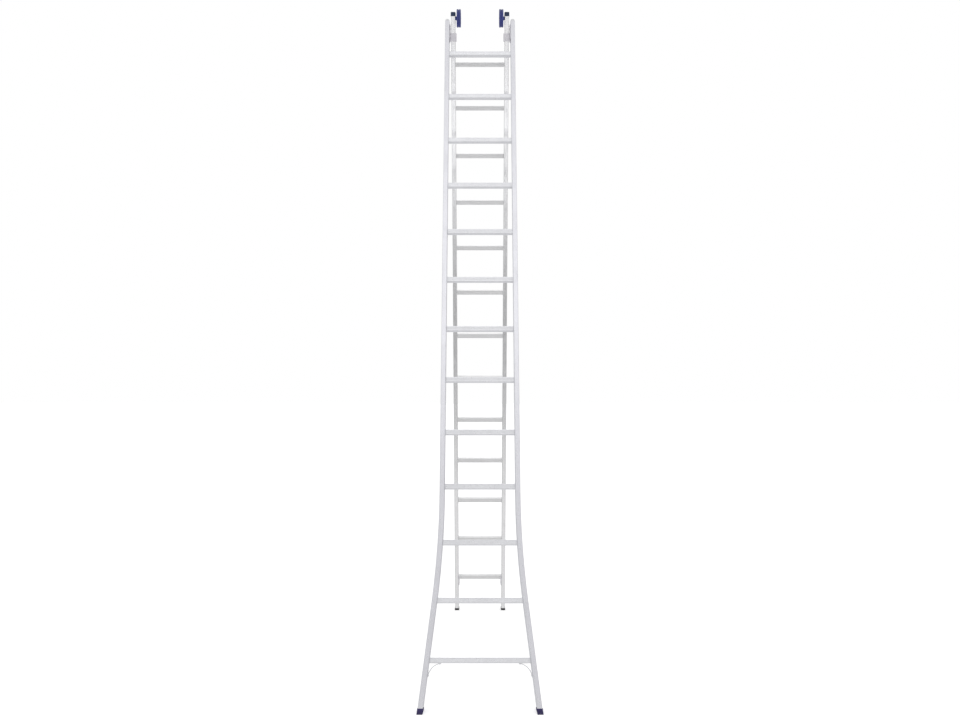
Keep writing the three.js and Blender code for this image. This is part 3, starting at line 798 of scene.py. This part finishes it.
def make_rivets():
    """Heads on both faces of the hinge plates' stiles, on the braces' two tabs, by the plugs, hooks and shoes."""
    plate_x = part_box("hinge_plate_right")[0].x
    spots = [(plate_x, y, z, [-1, 0, 0]) for y, z in HINGE_RIVETS]
    spots += [(BASE_X + WEB_HALF, y, z, [1, 0, 0]) for y, z in HINGE_RIVETS]
    under = BASE.along("base_rung_01") - RUNG / 2
    from_tip, drop = BRACE_RIVETS
    inner = float(base_inner_face(under - drop)) - BRACE_OFF_WEB
    spots.append((inner, 0, under - drop, [-math.cos(FLARE_ANGLE), 0, -math.sin(FLARE_ANGLE)]))
    tip_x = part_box("base_corner_brace_right")[0].x
    spots.append((tip_x + from_tip, 0, under - BRACE_FACE, [0, 0, -1]))
    spots += [(BASE_X + out * WEB_HALF, 0, BASE_END - PLUG_RIVET_DROP, [out, 0, 0]) for out in (-1, 1)]
    heads = rivets(BASE, spots, radius=4.2 * MM, height=2.2 * MM)
    piece("base_rivets", heads, "base_section", base_rung_metal)
    hook_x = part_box("rung_hook_right")[0].x
    rung = TOP.along("top_rung_01")
    spots = [(hook_x, y, rung + z, [-1, 0, 0]) for y, z in HOOK_RIVETS]
    spots.append((STILE_INNER_X + WEB_RECESS, 0, SHOE_RIVET_ALONG, [-1, 0, 0]))
    heads = rivets(TOP, spots, radius=4.0 * MM, height=2.0 * MM)
    piece("top_rivets", heads, "top_section", top_rung_metal)


# ------------------------------------------------------------------ studio


def soft_sun(name, direction, strength, angle):
    """A broad, even light from one direction, angle degrees wide, with soft-edged shadows."""
    light = bpy.data.lights.new(name, "SUN")
    light.energy = strength
    light.angle = math.radians(angle)
    lamp = bpy.data.objects.new(name, light)
    lamp.rotation_euler = Vector(direction).to_track_quat("Z", "Y").to_euler()
    bpy.context.scene.collection.objects.link(lamp)


FLOOR_HALF = 60.0
FLOOR_GLOW = 0.58                          # brings the floor up to the white behind it


def make_floor():
    """A wide pale floor, matt, so that the shoes throw only a soft shadow."""
    size = FLOOR_HALF
    corners = [(-size, -size, 0), (size, -size, 0), (size, size, 0), (-size, size, 0)]
    mesh = bpy.data.meshes.new("studio_floor")
    mesh.from_pydata(corners, [], [(0, 1, 2, 3)])
    floor = bpy.data.objects.new("studio_floor", mesh)
    bpy.context.scene.collection.objects.link(floor)
    paint = Finish("floor_paint", roughness=0.9, emission_color=rgb(1, 1, 1), emission_strength=FLOOR_GLOW)
    cloud = paint.noise(paint.place(), 0.4, 3.0, 0.5)
    paint.drive("Base Color", paint.mix(cloud, rgb(0.59, 0.59, 0.60), rgb(0.62, 0.62, 0.62)))
    mesh.materials.append(paint.material)
    floor.visible_glossy = False           # in the metal, the room below shows in its place


# How bright the room is in front of the ladder, by the sine of the elevation: softly lit bands over and under the
# horizon. Behind the ladder it is even.
ROOM_TOP = 1.45
ROOM_BEHIND = 0.82
WALL_SHARE = 0.6                           # at the sides that brightness falls to this share of itself,
WALL_FROM, WALL_TO = 0.45, 0.95            # between these two values of the direction's sideways part
ROOM = ((-1.0, 0.82), (-0.70, 0.75), (-0.61, 0.92), (-0.54, 0.32), (-0.44, 0.34), (-0.37, 0.90), (-0.33, 1.42),
        (-0.29, 1.42), (-0.255, 0.76), (-0.15, 0.68), (0.0, 0.80), (0.25, 0.80), (0.30, 0.76), (0.35, 1.0),
        (0.42, 0.40), (0.49, 0.86), (0.57, 1.40), (0.66, 1.15), (0.76, 0.88), (0.81, 0.70), (1.0, 0.80))


def make_world():
    """White to the camera; in reflections and as light, a room of soft bands with darker walls at the sides."""
    world = bpy.data.worlds.new("studio")
    bpy.context.scene.world = world
    world.use_nodes = True
    nodes, links = world.node_tree.nodes, world.node_tree.links
    nodes.clear()
    where = nodes.new("ShaderNodeTexCoord")
    parts = nodes.new("ShaderNodeSeparateXYZ")
    links.new(where.outputs["Generated"], parts.inputs[0])
    level = nodes.new("ShaderNodeMapRange")
    links.new(parts.outputs["Z"], level.inputs["Value"])
    level.inputs["From Min"].default_value = -1.0
    bands = nodes.new("ShaderNodeValToRGB")
    links.new(level.outputs[0], bands.inputs[0])
    Finish.set_stops(bands.color_ramp, [((z + 1) / 2, rgb(*[light / ROOM_TOP] * 3)) for z, light in ROOM])
    side = nodes.new("ShaderNodeMath")
    side.operation = "ABSOLUTE"
    links.new(parts.outputs["X"], side.inputs[0])
    walls = nodes.new("ShaderNodeMapRange")
    links.new(side.outputs[0], walls.inputs["Value"])
    limits = {"From Min": WALL_FROM, "From Max": WALL_TO, "To Min": ROOM_TOP, "To Max": WALL_SHARE * ROOM_TOP}
    for key, value in limits.items():
        walls.inputs[key].default_value = value
    behind = nodes.new("ShaderNodeMapRange")
    links.new(parts.outputs["Y"], behind.inputs["Value"])
    behind.inputs["From Min"].default_value = -0.1
    behind.inputs["From Max"].default_value = 0.1
    halves = nodes.new("ShaderNodeMix")
    halves.data_type = "RGBA"
    links.new(behind.outputs[0], halves.inputs[0])
    links.new(bands.outputs[0], halves.inputs[6])
    halves.inputs[7].default_value = rgb(*[ROOM_BEHIND / ROOM_TOP] * 3)
    room = nodes.new("ShaderNodeBackground")
    links.new(halves.outputs[2], room.inputs["Color"])
    links.new(walls.outputs[0], room.inputs["Strength"])
    plain = nodes.new("ShaderNodeBackground")
    plain.inputs["Color"].default_value = (1, 1, 1, 1)
    ray = nodes.new("ShaderNodeLightPath")
    pick = nodes.new("ShaderNodeMixShader")
    links.new(ray.outputs["Is Camera Ray"], pick.inputs[0])
    links.new(room.outputs[0], pick.inputs[1])
    links.new(plain.outputs[0], pick.inputs[2])
    output = nodes.new("ShaderNodeOutputWorld")
    links.new(pick.outputs[0], output.inputs["Surface"])


def make_studio():
    make_floor()
    make_world()
    soft_sun("overhead", (-0.1, 0.0, 1.0), strength=0.35, angle=45)
    scene = bpy.context.scene
    scene.view_settings.view_transform = "Standard"
    scene.view_settings.look = "None"


LENS = 38.5                                # millimetres, on a sensor 36 mm wide
CAMERA_DISTANCE = 5.989                    # in front of the hinge
EYE_LEVEL = 1.5705
CAMERA_TIP = 1.074                         # degrees above level


def make_camera():
    """At eye level in front of the ladder, tipped up by a degree, so that both ends are in view."""
    camera = bpy.data.cameras.new("camera")
    camera.sensor_width = 36.0
    camera.lens = LENS
    holder = bpy.data.objects.new("camera", camera)
    holder.location = (0, PIVOT.y - CAMERA_DISTANCE, EYE_LEVEL)
    holder.rotation_euler = (math.radians(90 + CAMERA_TIP), 0, 0)
    bpy.context.scene.collection.objects.link(holder)
    bpy.context.scene.camera = holder


make_stiles()
make_rungs()
make_ends()
make_wheels()
make_brackets()
make_rivets()
make_studio()
make_camera()
